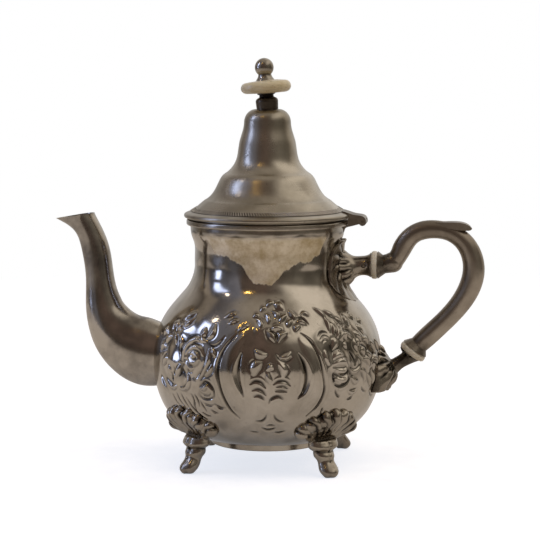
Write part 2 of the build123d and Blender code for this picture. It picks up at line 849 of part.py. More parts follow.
# ---------------------------------------------------------------- finial
# Its pieces are turned upright on the lid's axis, then leaned over together.
collar_crown = crown_height + base_collar_height
seat_height = collar_crown + stem_length
with BuildPart() as base_turned:
    with BuildSketch(Plane.XZ):
        with BuildLine():
            top = collar_crown
            buried = crown_height - lid_sheet
            Polyline(
                (stud_radius + fit, buried),
                (base_collar_radius - 0.3, buried),
                (base_collar_radius, top - 2.0),
            )
            Spline(
                (base_collar_radius, top - 2.0),
                (stem_radius + 0.6, top + 0.1),
                tangents=[(0, 1), (-1, 0.3)],
            )
            Polyline(
                (stem_radius + 0.6, top + 0.1),
                (stem_radius, top + 0.6),
                (stem_radius, seat_height - 1.2),
                (flange_seat_radius, seat_height - 0.8),
                (flange_seat_radius, seat_height),
                (stud_radius + fit, seat_height),
                (stud_radius + fit, buried),
            )
        make_face()
    revolve(axis=Axis.Z)

with BuildPart() as finial_base:
    add(base_turned.part.rotate(lean_axis, -finial_lean))
    with Locations((0, 0, crown_height)):
        Cylinder(
            2 * base_collar_radius,
            2 * lid_sheet,
            align=(Align.CENTER, Align.CENTER, Align.MAX),
            mode=Mode.SUBTRACT,
        )
finial_base.part.label = "finial_base"
export_step(finial_base.part, "parts/finial_base.step")

skirt_bottom = seat_height + disc_float + disc_thickness + disc_play
ball_height = skirt_bottom + ball_rise

with BuildPart() as ball_turned:
    with BuildSketch(Plane.XZ):
        with BuildLine():
            neck_top = ball_height - sqrt(ball_radius**2 - ball_neck**2)
            Polyline(
                (0, ball_height + ball_radius),
                (0, skirt_bottom),
                (skirt_radius, skirt_bottom),
            )
            Spline(
                (skirt_radius, skirt_bottom),
                (ball_neck, neck_top),
                tangents=[(-0.5, 1), (-0.1, 1)],
            )
            ThreePointArc(
                (ball_neck, neck_top),
                (ball_radius, ball_height),
                (0, ball_height + ball_radius),
            )
        make_face()
    revolve(axis=Axis.Z)
    with Locations((0, 0, skirt_bottom)):
        Cylinder(
            stud_radius + fit,
            ball_height - skirt_bottom,
            align=(Align.CENTER, Align.CENTER, Align.MIN),
            mode=Mode.SUBTRACT,
        )

with BuildPart() as disc_turned:
    with Locations((0, 0, seat_height + disc_float + disc_thickness / 2)):
        Cylinder(disc_radius, disc_thickness)
        fillet(disc_turned.edges().filter_by(GeomType.CIRCLE), disc_thickness * 0.42)
        Cylinder(disc_bore, 2 * disc_thickness, mode=Mode.SUBTRACT)

nut_top = crown_height - lid_sheet - 0.6 * nut_across * sin(radians(finial_lean))
stud_bottom = nut_top - nut_thickness - 1.5

with BuildPart() as nut_turned:
    with BuildSketch(Plane.XY.offset(nut_top - nut_thickness)):
        RegularPolygon(nut_across / 2, 6, major_radius=False)
        Circle(stud_radius + fit, mode=Mode.SUBTRACT)
    extrude(amount=nut_thickness)

with BuildPart() as stud_turned:
    with Locations((0, 0, stud_bottom)):
        Cylinder(
            stud_radius,
            ball_height - 0.3 - stud_bottom,
            align=(Align.CENTER, Align.CENTER, Align.MIN),
        )
    chamfer(stud_turned.edges().filter_by(GeomType.CIRCLE), 0.3)

for name, turned in (
    ("finial_ball", ball_turned),
    ("finial_disc", disc_turned),
    ("finial_nut", nut_turned),
    ("finial_stud", stud_turned),
):
    leaned = turned.part.rotate(lean_axis, -finial_lean)
    leaned.label = name
    export_step(leaned, f"parts/{name}.step")

# ---------------------------------------------------------------- feet
# A cast foot, modelled on the +X side and turned into its four places: a scalloped fan
# that lies on the belly, and a leg that runs down and out to a rounded toe.
leg_sections = [
    (19.5, 47.6, 5.2, 8.5),
    (14.0, 48.4, 5.2, 6.8),
    (9.0, 49.9, 4.3, 4.7),
    (4.3, toe_radius - 0.2, 5.0, 5.0),
    (0.0, toe_radius + 0.8, sole_radius, sole_radius),
]


def on_belly(across, height):
    """A point just under the belly's skin, given its distance round the belly and height."""
    fall = (belly_height - height) / (belly_height - base_height)
    radius = base_radius + (belly_radius - base_radius) * sqrt(1 - fall**2) - lobe_sink
    turn = across / radius
    return Vector(radius * cos(turn), radius * sin(turn), height)


ankle = on_belly(0, ankle_height)
belly_slope = 50.0          # degrees above the horizontal, at the ankle

with BuildPart() as leg:
    levels = []
    for height, centre, along, across in leg_sections:
        with BuildSketch(Plane.XY.offset(height)) as level:
            with Locations((centre, 0)):
                Ellipse(along, across)
        levels.append(level.sketch)
    loft(levels)

with BuildPart() as foot:
    add(leg.part)
    for lobe in range(fan_lobes):
        angle = radians(fan_spread * (lobe / (fan_lobes - 1) - 0.5))
        end = on_belly(
            fan_reach * sin(angle),
            ankle_height + fan_reach * cos(angle) * sin(radians(belly_slope)),
        )
        run = end - ankle
        taper = asin((lobe_radius - lobe_root) / run.length)
        with BuildSketch(Plane(ankle, x_dir=run, z_dir=run.cross(Vector(0, 0, 1)))):
            with BuildLine():
                flank_end = (
                    run.length - lobe_radius * sin(taper),
                    lobe_radius * cos(taper),
                )
                Polyline((0, 0), (0, lobe_root), flank_end)
                ThreePointArc(
                    flank_end,
                    (run.length + lobe_radius * cos(pi / 4), lobe_radius * sin(pi / 4)),
                    (run.length + lobe_radius, 0),
                )
                Line((run.length + lobe_radius, 0), (0, 0))
            make_face()
        revolve(axis=Axis(ankle, run))
    add(vessel_solid.part, mode=Mode.SUBTRACT)

for name, azimuth in (
    ("foot_back_right", foot_azimuth),
    ("foot_back_left", 180 - foot_azimuth),
    ("foot_front_left", 180 + foot_azimuth),
    ("foot_front_right", -foot_azimuth),
):
    placed = foot.part.rotate(Axis.Z, azimuth)
    placed.label = name
    export_step(placed, f"parts/{name}.step")
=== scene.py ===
# A silver teapot of the Moroccan pattern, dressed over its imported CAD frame. Points of the
# pot are written in millimetres, as the silversmith would, and turned into metres once.
import math
import bpy
import numpy as np
from mathutils import Matrix, Vector


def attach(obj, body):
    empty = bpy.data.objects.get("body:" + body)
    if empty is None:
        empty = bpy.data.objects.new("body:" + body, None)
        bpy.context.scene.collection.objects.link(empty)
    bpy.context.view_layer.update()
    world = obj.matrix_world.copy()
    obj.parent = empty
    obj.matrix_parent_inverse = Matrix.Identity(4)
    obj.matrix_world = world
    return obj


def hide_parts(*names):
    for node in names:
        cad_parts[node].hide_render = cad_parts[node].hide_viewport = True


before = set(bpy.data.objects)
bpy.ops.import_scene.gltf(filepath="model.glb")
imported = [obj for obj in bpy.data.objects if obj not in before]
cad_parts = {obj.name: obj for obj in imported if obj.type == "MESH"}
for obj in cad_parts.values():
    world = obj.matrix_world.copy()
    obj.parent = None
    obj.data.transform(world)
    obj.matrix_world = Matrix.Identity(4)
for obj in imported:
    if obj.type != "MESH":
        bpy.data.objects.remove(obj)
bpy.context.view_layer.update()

# ---------------------------------------------------------------- camera
# A long lens a metre in front of the pot, a hand's breadth to its right and level with the
# finial, looking a little down.
camera = bpy.data.objects.new("camera", bpy.data.cameras.new("camera"))
bpy.context.scene.collection.objects.link(camera)
camera.data.lens = 128.9
camera.location = (0.13295, -1.04155, 0.22524)
camera.rotation_euler = (math.radians(83.51), 0, math.radians(7.2))
bpy.context.scene.camera = camera
bpy.context.scene.view_settings.view_transform = "Standard"


# ---------------------------------------------------------------- table and room
# The pot stands on a round table under a pale cloth. Behind it hangs a white backdrop, and
# in front is a dim room in browns, which is what gives polished silver its darks.
def linear(colour):
    """An sRGB hex colour as linear red, green, blue and alpha."""
    parts = [int(colour[i : i + 2], 16) / 255 for i in (1, 3, 5)]
    return [p / 12.92 if p <= 0.04045 else ((p + 0.055) / 1.055) ** 2.4 for p in parts] + [1]


def add(tree, kind, sockets=(), stops=(), **settings):
    """Add a node with its settings, its sockets' values or links, and a ramp's stops."""
    made = tree.nodes.new("ShaderNode" + kind)
    for name, value in settings.items():
        setattr(made, name, value)
    for name, value in dict(sockets).items():
        if isinstance(value, bpy.types.NodeSocket):
            tree.links.new(value, made.inputs[name])
        else:
            made.inputs[name].default_value = value
    for count, (place, colour) in enumerate(stops):
        ramp = made.color_ramp.elements
        stop = ramp[count] if count < 2 else ramp.new(place)
        stop.position = place
        stop.color = linear(colour)
    return made


def seen(tree):
    """How much a ray sees the white surround: the camera's rays, and those off metal or glass."""
    ray = add(tree, "LightPath").outputs
    mirrored = add(
        tree, "Math", {0: ray["Is Glossy Ray"], 1: ray["Is Transmission Ray"]}, operation="MAXIMUM"
    ).outputs[0]
    return ray["Is Camera Ray"], mirrored


world = bpy.data.worlds.new("room")
bpy.context.scene.world = world
world.use_nodes = True
tree = world.node_tree
tree.nodes.clear()

# Round the room from behind the pot by the left, the front and the right to behind again:
# a light wall, a door frame, the dark blue wall with the window, brown furniture, a grey
# wall with its curtain, and the light wall.
gaze = add(tree, "TexCoord").outputs["Generated"]
across, away, height = add(tree, "SeparateXYZ", {"Vector": gaze}).outputs
forward = add(tree, "Math", {0: away, 1: -1.0}, operation="MULTIPLY").outputs[0]
bearing = add(tree, "Math", {0: across, 1: forward}, operation="ARCTAN2").outputs[0]
round_room = add(
    tree, "MapRange", {"Value": bearing, "From Min": -math.pi, "From Max": math.pi}
).outputs[0]
wall = add(
    tree,
    "ValToRGB",
    {"Fac": round_room},
    stops=[(0.0, "#a39e99"), (1.0, "#d8d2ca"), (0.150, "#928c87"), (0.172, "#8c857e"),
           (0.178, "#3d342e"), (0.186, "#3d342e"), (0.192, "#a39a8f"), (0.226, "#968d84"),
           (0.236, "#4a4b55"), (0.300, "#646776"), (0.385, "#7a7b86"), (0.41, "#554b45"),
           (0.50, "#675851"), (0.57, "#645c55"), (0.64, "#7d786f"), (0.77, "#6a655c"),
           (0.785, "#4d453d"), (0.80, "#a69d90"), (0.85, "#cdc5b9")],
).outputs["Color"]
shade = add(      # the furniture darkens the room below the eye, and the walls lighten above
    tree, "MapRange",
    {"Value": height, "From Min": -0.12, "From Max": 0.32, "To Min": 0.6, "To Max": 1.4},
).outputs[0]
wall = add(
    tree, "Mix", {"Factor": 1.0, 6: wall, 7: shade}, data_type="RGBA", blend_type="MULTIPLY"
).outputs[2]
streaky = add(tree, "Mapping", {"Vector": gaze, "Scale": (5.0, 5.0, 1.1)}).outputs[0]
streaks = add(
    tree, "TexNoise", {"Vector": streaky, "Scale": 1.0, "Detail": 3.0, "Roughness": 0.6}
).outputs["Fac"]
streaks = add(
    tree, "MapRange", {"Value": streaks, "From Min": 0.45, "From Max": 0.66, "To Max": 0.45}
).outputs[0]
wall = add(
    tree, "Mix", {"Factor": streaks, 6: wall, 7: linear("#4a423b")}, data_type="RGBA"
).outputs[2]

# The ceiling is paler, and palest over the right, where the daylight falls on it. Under the
# horizon lies the floor of the room, beyond the table.
overhead = add(
    tree, "MapRange", {"Value": height, "From Min": 0.80, "From Max": 0.97},
    interpolation_type="SMOOTHSTEP",
).outputs[0]
ceiling = add(
    tree, "Mix", {"Factor": overhead, 6: wall, 7: linear("#b4ab9f")}, data_type="RGBA"
).outputs[2]
to_right = add(
    tree, "MapRange", {"Value": across, "From Min": 0.28, "From Max": 0.52},
    interpolation_type="SMOOTHSTEP",
).outputs[0]
raised = add(
    tree, "MapRange", {"Value": height, "From Min": 0.46, "From Max": 0.64},
    interpolation_type="SMOOTHSTEP",
).outputs[0]
daylight_side = add(tree, "Math", {0: to_right, 1: raised}, operation="MULTIPLY").outputs[0]
ceiling = add(
    tree, "Mix", {"Factor": daylight_side, 6: ceiling, 7: linear("#fff6e8")}, data_type="RGBA"
).outputs[2]
above_floor = add(
    tree, "MapRange", {"Value": height, "From Min": -0.20, "From Max": -0.08}
).outputs[0]
walls = add(
    tree, "Mix", {"Factor": above_floor, 6: linear("#8d8375"), 7: ceiling}, data_type="RGBA"
).outputs[2]

# The backdrop is white to the eye, and less so in the metal, as it stands in the shade.
by_camera, by_metal = seen(tree)
behind = add(
    tree, "MapRange", {"Value": away, "From Min": 0.45, "From Max": 0.9, "To Max": 0.34},
    interpolation_type="SMOOTHSTEP",
).outputs[0]
behind = add(tree, "Math", {0: by_metal, 1: behind}, operation="MULTIPLY").outputs[0]
white = add(tree, "Math", {0: by_camera, 1: behind}, operation="MAXIMUM").outputs[0]
surround = add(
    tree, "Mix", {"Factor": white, 6: walls, 7: linear("#ffffff")}, data_type="RGBA"
).outputs[2]
background = add(tree, "Background", {"Color": surround, "Strength": 1.0}).outputs[0]
add(tree, "OutputWorld", {"Surface": background})

# The table's edge is a little uneven, as a cloth hangs over it.
mm = 0.001                 # metres
table_radius = 900
edge = np.linspace(0, 2 * math.pi, 180, endpoint=False)
reach = table_radius * (1 + 0.02 * np.sin(5 * edge) + 0.012 * np.sin(11 * edge + 1))
cloth_mesh = bpy.data.meshes.new("table_cloth")
cloth_points = np.stack([reach * np.cos(edge), reach * np.sin(edge), 0 * edge], 1) * mm
cloth_mesh.from_pydata(cloth_points.tolist(), [], [list(range(len(edge)))])
table_cloth = bpy.data.objects.new("table_cloth", cloth_mesh)
bpy.context.scene.collection.objects.link(table_cloth)

cloth = bpy.data.materials.new("pale_cloth")
cloth.use_nodes = True
tree = cloth.node_tree
tree.nodes.clear()
spot = add(tree, "TexCoord").outputs["Object"]
slub = add(tree, "TexNoise", {"Vector": spot, "Scale": 60.0, "Detail": 4.0}).outputs["Fac"]
thread = add(
    tree, "ValToRGB", {"Fac": slub}, stops=[(0.3, "#c9bfae"), (0.7, "#d8cebe")]
).outputs["Color"]
woven = add(tree, "BsdfDiffuse", {"Color": thread}).outputs[0]
by_camera, by_metal = seen(tree)
to_eye = add(tree, "Math", {0: by_camera, 1: 0.80}, operation="MULTIPLY").outputs[0]
to_metal = add(tree, "Math", {0: by_metal, 1: 0.22}, operation="MULTIPLY").outputs[0]
lift = add(tree, "Math", {0: to_eye, 1: to_metal}, operation="MAXIMUM").outputs[0]
lifted = add(tree, "Emission", {"Color": linear("#eef4ff"), "Strength": lift}).outputs[0]
cover = add(tree, "AddShader", {0: woven, 1: lifted}).outputs[0]
add(tree, "OutputMaterial", {"Surface": cover})
cloth_mesh.materials.append(cloth)


# ---------------------------------------------------------------- lamps
# Daylight from a tall window of two panes on the left, two small bulbs that leave the
# sparks on the silver, and a broad soft light over the pot that makes its whites white.
def lamp(name, place, size, colour, glow):
    """An area lamp turned to the pot. Its glow is its brightness, where 1 is paper white."""
    light = bpy.data.lights.new(name, "AREA")
    light.shape = "RECTANGLE"
    light.size, light.size_y = size
    light.color = linear(colour)[:3]
    light.energy = glow * math.pi * size[0] * size[1]
    made = bpy.data.objects.new(name, light)
    bpy.context.scene.collection.objects.link(made)
    made.location = place
    aim = Vector((0, 0, 0.1)) - made.location
    made.rotation_euler = aim.to_track_quat("-Z", "Y").to_euler()
    return made


lamp("window_lower", (-1.22, -0.29, 0.22), (0.26, 0.30), "#bccfff", 5.0)
lamp("window_upper", (-1.10, -0.26, 0.78), (0.26, 0.52), "#bccfff", 5.0)
lamp("ceiling_bulb", (-0.42, -0.78, 1.25), (0.05, 0.05), "#ffcf6a", 40.0)
lamp("shelf_bulb", (-0.86, -0.24, 1.10), (0.045, 0.045), "#fff0e0", 40.0)
soft_light = lamp("soft_light", (0.25, -0.45, 1.6), (1.2, 1.0), "#fff6ea", 1.3)
soft_light.visible_glossy = False


# ---------------------------------------------------------------- vessel
# The pear-shaped body is raised from one sheet with a hammer. Its flowers and scrolls, alike on
# both sides, are pushed out from behind and chased from the front, and the whole is plated with
# silver. It was blackened and then polished, so the hollows have stayed dark.
def bezier(a, b, c, d, steps=40):
    """Points on a Bezier curve through four control points."""
    t = np.linspace(0, 1, steps + 1)[:, None]
    a, b, c, d = (np.array(p, float) for p in (a, b, c, d))
    return (1 - t) ** 3 * a + 3 * t * (1 - t) ** 2 * b + 3 * t**2 * (1 - t) * c + t**3 * d


def even(points, pitch):
    """The same line with its points an even pitch apart."""
    points = np.array(points, float)
    run = np.append(0, np.cumsum(np.linalg.norm(np.diff(points, axis=0), axis=1)))
    marks = np.linspace(0, run[-1], max(2, round(run[-1] / pitch) + 1))
    return np.stack([np.interp(marks, run, axis) for axis in points.T], 1)


def smooth(points, steps=8):
    """A smooth line through some points."""
    p = np.array(points, float)
    if len(p) < 3:
        return even(p, np.linalg.norm(p[-1] - p[0]) / steps)
    p = np.vstack([2 * p[0] - p[1], p, 2 * p[-1] - p[-2]])
    t = np.linspace(0, 1, steps, endpoint=False)[:, None]
    runs = []
    for a, b, c, d in zip(p, p[1:], p[2:], p[3:]):
        runs.append(b + t * (c - a) / 2 + t**2 * (a - 2.5 * b + 2 * c - d / 2)
                    + t**3 * (1.5 * (b - c) + (d - a) / 2))
    return np.vstack(runs + [p[-2:-1]])


def piece(name, points, faces, material, crease=35):
    """A mesh piece from points in millimetres, with soft shading up to a crease angle."""
    mesh = bpy.data.meshes.new(name)
    mesh.from_pydata((np.array(points) * mm).tolist(), [], np.array(faces).tolist())
    mesh.polygons.foreach_set("use_smooth", [True] * len(mesh.polygons))
    mesh.set_sharp_from_angle(angle=math.radians(crease))
    mesh.materials.append(material)
    made = bpy.data.objects.new(name, mesh)
    bpy.context.scene.collection.objects.link(made)
    return made


def turned(line, columns):
    """Points and faces of a closed section of (radius, height), turned round the pot's axis."""
    angle = np.linspace(0, 2 * math.pi, columns, endpoint=False)[:, None]
    radius, height = np.array(line).T
    points = np.stack(
        [radius * np.cos(angle), radius * np.sin(angle), height + 0 * angle], -1
    )
    place = np.arange(columns * len(line)).reshape(columns, len(line))
    beside = np.roll(place, -1, 0)
    faces = np.stack([place, beside, np.roll(beside, -1, 1), np.roll(place, -1, 1)], -1)
    return points.reshape(-1, 3), faces.reshape(-1, 4)


def per(size):
    """A texture scale at which one feature of the pattern has this size in millimetres."""
    return 1 / (size * mm)


def silver(
    name, bright, dull, roughness, blackened=0.0, spun=0.0, scratches=0.25, hammer=0.0,
    joints=(), table_reflection=False,
):
    """Old silver: warm grey metal, cloudy with a thin tarnish that dulls it in patches, with
    wiping scratches, spinning lines or planishing marks, and black left in its hollows and
    round its joints, given as a place and a reach in millimetres."""
    made = bpy.data.materials.new(name)
    made.use_nodes = True
    tree = made.node_tree
    tree.nodes.clear()
    spot = add(tree, "TexCoord").outputs["Object"]
    cloud = add(
        tree, "TexNoise", {"Vector": spot, "Scale": per(28), "Detail": 6.0, "Roughness": 0.62}
    ).outputs["Fac"]
    tone = add(
        tree, "ValToRGB", {"Fac": cloud}, stops=[(0.36, dull), (0.60, bright)]
    ).outputs["Color"]
    fleck = add(
        tree, "TexNoise", {"Vector": spot, "Scale": per(2.2), "Detail": 3.0, "Roughness": 0.7}
    ).outputs["Fac"]
    freckled = add(
        tree, "ValToRGB", {"Fac": fleck}, stops=[(0.25, "#4b4238"), (0.36, "#ffffff")]
    ).outputs["Color"]
    tone = add(
        tree, "Mix", {"Factor": 0.35, 6: tone, 7: freckled}, data_type="RGBA",
        blend_type="MULTIPLY",
    ).outputs[2]
    if blackened:
        hollow = add(tree, "Attribute", attribute_name="hollow").outputs["Fac"]
        edge_of = add(tree, "NewGeometry").outputs["Pointiness"]
        dip = add(
            tree, "MapRange", {"Value": edge_of, "From Min": 0.5, "From Max": 0.44}
        ).outputs[0]
        grime = add(tree, "Math", {0: hollow, 1: dip}, operation="MAXIMUM").outputs[0]
        grime = add(tree, "Math", {0: grime, 1: blackened}, operation="MULTIPLY").outputs[0]
        tone = add(
            tree, "Mix", {"Factor": grime, 6: tone, 7: linear("#1d1813")}, data_type="RGBA"
        ).outputs[2]
    for place, reach in joints:
        far = add(
            tree, "VectorMath", {0: spot, 1: [c * mm for c in place]}, operation="DISTANCE"
        ).outputs["Value"]
        ragged = add(tree, "Math", {0: fleck, 1: 0.5 * reach * mm}, operation="MULTIPLY")
        far = add(tree, "Math", {0: far, 1: ragged.outputs[0]}, operation="ADD").outputs[0]
        sooty = add(
            tree, "MapRange",
            {"Value": far, "From Min": reach * mm, "From Max": 0.45 * reach * mm, "To Max": 0.85},
        ).outputs[0]
        tone = add(
            tree, "Mix", {"Factor": sooty, 6: tone, 7: linear("#2a241e")}, data_type="RGBA"
        ).outputs[2]
    worn = add(
        tree,
        "MapRange",
        {"Value": cloud, "From Min": 0.3, "From Max": 0.7,
         "To Min": roughness * 1.25, "To Max": roughness * 0.8},
    ).outputs[0]
    wiped = add(
        tree, "Mapping", {"Vector": spot, "Rotation": (0.5, 0.3, 0.9), "Scale": (1.0, 9.0, 1.6)}
    ).outputs[0]
    scratch = add(
        tree, "TexNoise", {"Vector": wiped, "Scale": per(3.0), "Detail": 5.0, "Roughness": 0.75}
    ).outputs["Fac"]
    surface = add(
        tree, "Bump", {"Height": scratch, "Strength": scratches, "Distance": 0.03 * mm}
    ).outputs[0]
    if hammer:
        blow = add(
            tree, "TexVoronoi", {"Vector": spot, "Scale": per(7.0), "Smoothness": 1.0},
            feature="SMOOTH_F1",
        ).outputs["Distance"]
        surface = add(
            tree, "Bump", {"Height": blow, "Normal": surface, "Strength": hammer,
                           "Distance": 0.6 * mm},
        ).outputs[0]
    if spun:
        ring = add(tree, "SeparateXYZ", {"Vector": spot}).outputs["Z"]
        ring = add(tree, "Math", {0: ring, 1: per(0.9)}, operation="MULTIPLY").outputs[0]
        lines = add(
            tree, "TexNoise", {"W": ring, "Scale": 1.0, "Detail": 4.0, "Roughness": 0.8},
            noise_dimensions="1D",
        ).outputs["Fac"]
        surface = add(
            tree, "Bump", {"Height": lines, "Normal": surface, "Strength": spun,
                           "Distance": 0.05 * mm},
        ).outputs[0]
    shine = 1.0
    # A painted reflection: where the mesh marks it, a pale mottled colour stands in for the
    # reflection of the table cloth, and the silver there is rougher and less metallic.
    if table_reflection:
        table_reflection_mask = add(tree, "Attribute", attribute_name="table_reflection_mask").outputs["Fac"]
        reflection_mottle = add(
            tree, "TexNoise", {"Vector": spot, "Scale": per(11), "Detail": 8.0, "Roughness": 0.72}
        ).outputs["Fac"]
        reflection_colour = add(
            tree, "ValToRGB", {"Fac": reflection_mottle}, stops=[(0.36, "#c7b48e"), (0.60, "#fbf0dc")]
        ).outputs["Color"]
        tone = add(
            tree, "Mix", {"Factor": table_reflection_mask, 6: tone, 7: reflection_colour}, data_type="RGBA"
        ).outputs[2]
        worn = add(
            tree, "Mix", {"Factor": table_reflection_mask, 2: worn, 3: 0.42}, data_type="FLOAT"
        ).outputs[0]
        shine = add(
            tree, "MapRange", {"Value": table_reflection_mask, "To Min": 1.0, "To Max": 0.35}
        ).outputs[0]
    metal = add(
        tree, "BsdfPrincipled",
        {"Base Color": tone, "Metallic": shine, "Roughness": worn, "Normal": surface},
    ).outputs[0]
    add(tree, "OutputMaterial", {"Surface": metal})
    return made


belly, belly_height = 62.6, 56.0      # the widest radius and where it lies
neck, mouth = 39.6, 41.9              # the radius of the neck and of the opening
bowl_middle, bowl_round, bowl_depth = 31.0, 31.6, 41.2


def vessel_line(grown):
    """The vessel's half section from its floor's lap to its rim, grown outwards."""
    turn = np.linspace(-math.pi / 2, 0, 80)
    bowl = np.stack([
        bowl_middle + (bowl_round + grown) * np.cos(turn),
        belly_height + (bowl_depth + grown) * np.sin(turn),
    ], 1)
    shoulder = bezier(
        (belly + grown, belly_height), (belly + grown, 90.0),
        (neck + grown, 90.0), (neck + grown, 110.0), 80,
    )
    throat = bezier(
        (neck + grown, 117.0), (neck + grown, 123.25),
        (mouth + grown, 123.25), (mouth + grown, 129.5),
    )
    rim = [(mouth + grown, 133.3)]
    return np.vstack([[(29.0, 14.8 - grown)], bowl, shoulder[1:], throat, rim])


sheet = 0.9                # thickness of the sheet
skin_pitch = 0.42          # fine enough for a chasing tool's line
skin_line = even(vessel_line(0), skin_pitch)
lining = even(vessel_line(-sheet)[::-1], 2.0)
columns = 940              # round the pot
vessel_points, vessel_faces = turned(np.vstack([skin_line, lining]), columns)
rows = len(skin_line) + len(lining)
grid = vessel_points.reshape(columns, rows, 3)
skin = grid[:, : len(skin_line)].reshape(-1, 3)
lift = np.zeros(len(skin))
slope = np.gradient(skin_line, axis=0)
slope /= np.linalg.norm(slope, axis=1)[:, None]
belly_part = slice(np.argmax(skin_line[:, 1] > 16.0), np.argmax(skin_line[:, 1] > 112.0))


def on_skin(around, height):
    """A point of the vessel's skin, from degrees round from the front and its height."""
    radius = np.interp(height, skin_line[belly_part, 1], skin_line[belly_part, 0])
    turn = np.radians(around)
    return np.stack([radius * np.sin(turn), -radius * np.cos(turn), height + 0 * radius], -1)


def work(marks, half_width, height, blunt):
    """Work one mark along (degrees, height) points, on both sides of the pot. A positive
    height is raised from behind, and a negative one is chased in with a thrown-up burr. The
    mark is fullest at its middle and narrows to the blunt share of that at its ends."""
    for side in (0, 180):
        line = smooth(marks)
        route = on_skin(line[:, 0] + side, line[:, 1])
        room = 2.6 * half_width
        near = np.flatnonzero(
            np.all((skin > route.min(0) - room) & (skin < route.max(0) + room), axis=1)
        )
        spots, apart, along = skin[near], np.full(len(near), 1e9), np.zeros(len(near))
        for count, (a, b) in enumerate(zip(route, route[1:])):
            share = np.clip((spots - a) @ (b - a) / max((b - a) @ (b - a), 1e-9), 0, 1)
            distance = np.linalg.norm(spots - a - share[:, None] * (b - a), axis=1)
            closer = distance < apart
            apart[closer] = distance[closer]
            along[closer] = (count + share[closer]) / (len(route) - 1)
        from_end = 2 * np.minimum(along, 1 - along)
        swell = blunt + (1 - blunt) * np.sin(from_end * math.pi / 2)
        off = apart / (half_width * swell)
        if height > 0:
            lift[near] += height * (
                swell * np.clip(1 - (off / 1.5) ** 2, 0, 1) ** 1.5
                - (0.3 if half_width < 2.5 else 0) * np.exp(-5 * (off - 1.65) ** 2)
            )
        else:
            lift[near] += height * (np.exp(-2 * off**2) - 0.4 * np.exp(-6 * (off - 1.5) ** 2))


def boss(around, height, radius, rise):
    """A round boss, or a punched hollow."""
    for side in (0, 180):
        centre = on_skin(around + side, height)
        off = np.linalg.norm(skin - centre, axis=1) / radius
        near = off < 2
        lift[near] += rise * (np.exp(-2.2 * off[near] ** 2) - 0.25 * np.exp(
            -8 * (off[near] - 1.25) ** 2))


# The frame in the middle: on each side a broad bowed band between a long chased line
# outside and a deep crescent inside, round a smooth panel.
for marks in ([(-5, 78), (-10.4, 69), (-11.6, 58.5), (-10, 47), (-5.5, 38.5)],
              [(24, 76), (30, 67), (31.3, 57), (29.6, 47), (24.5, 38.5)]):
    work(marks, 5.2, 0.95, 0.2)
for marks in (
    [(-8.5, 78.5), (-13.5, 72.5), (-16.6, 65), (-17.2, 57.5), (-15.3, 47.5), (-11.7, 39), (-7, 34)],
    [(24.3, 79), (29.5, 74.5), (33, 66), (34.6, 58), (35.8, 49), (33.2, 41), (27.5, 34.5)],
):
    work(marks, 1.1, -0.8, 0.25)
for marks in ([(-5.6, 69.5), (-7, 62), (-6.7, 54.5), (-4.3, 46)],
              [(22.4, 69.3), (25.4, 63), (26.4, 56), (25, 49), (21.8, 45)]):
    work(marks, 1.6, -0.85, 0.15)
for marks in ([(1, 78), (4, 81), (8.5, 82)], [(9.5, 82), (14, 81), (17.5, 78)]):
    work(marks, 3.2, 0.35, 0.3)

# The masses of the flowers, beaten up before their petals were chased.
for around, height, radius, rise in (
    (-31.5, 66, 9, 0.9), (-45, 79, 8, 0.4), (-48, 62, 8, 0.5), (-32, 52, 6, 0.4),
    (-24.2, 48, 3.6, 0.4), (45, 63, 7, 0.7), (46, 77, 7, 0.5), (46, 54, 4.5, 0.5),
    (58, 62, 6, 0.4), (62, 75, 7, 0.35), (66, 60, 6, 0.5), (75, 60, 6, 0.4), (37.5, 75, 4, 0.3),
):
    boss(around, height, radius, rise)

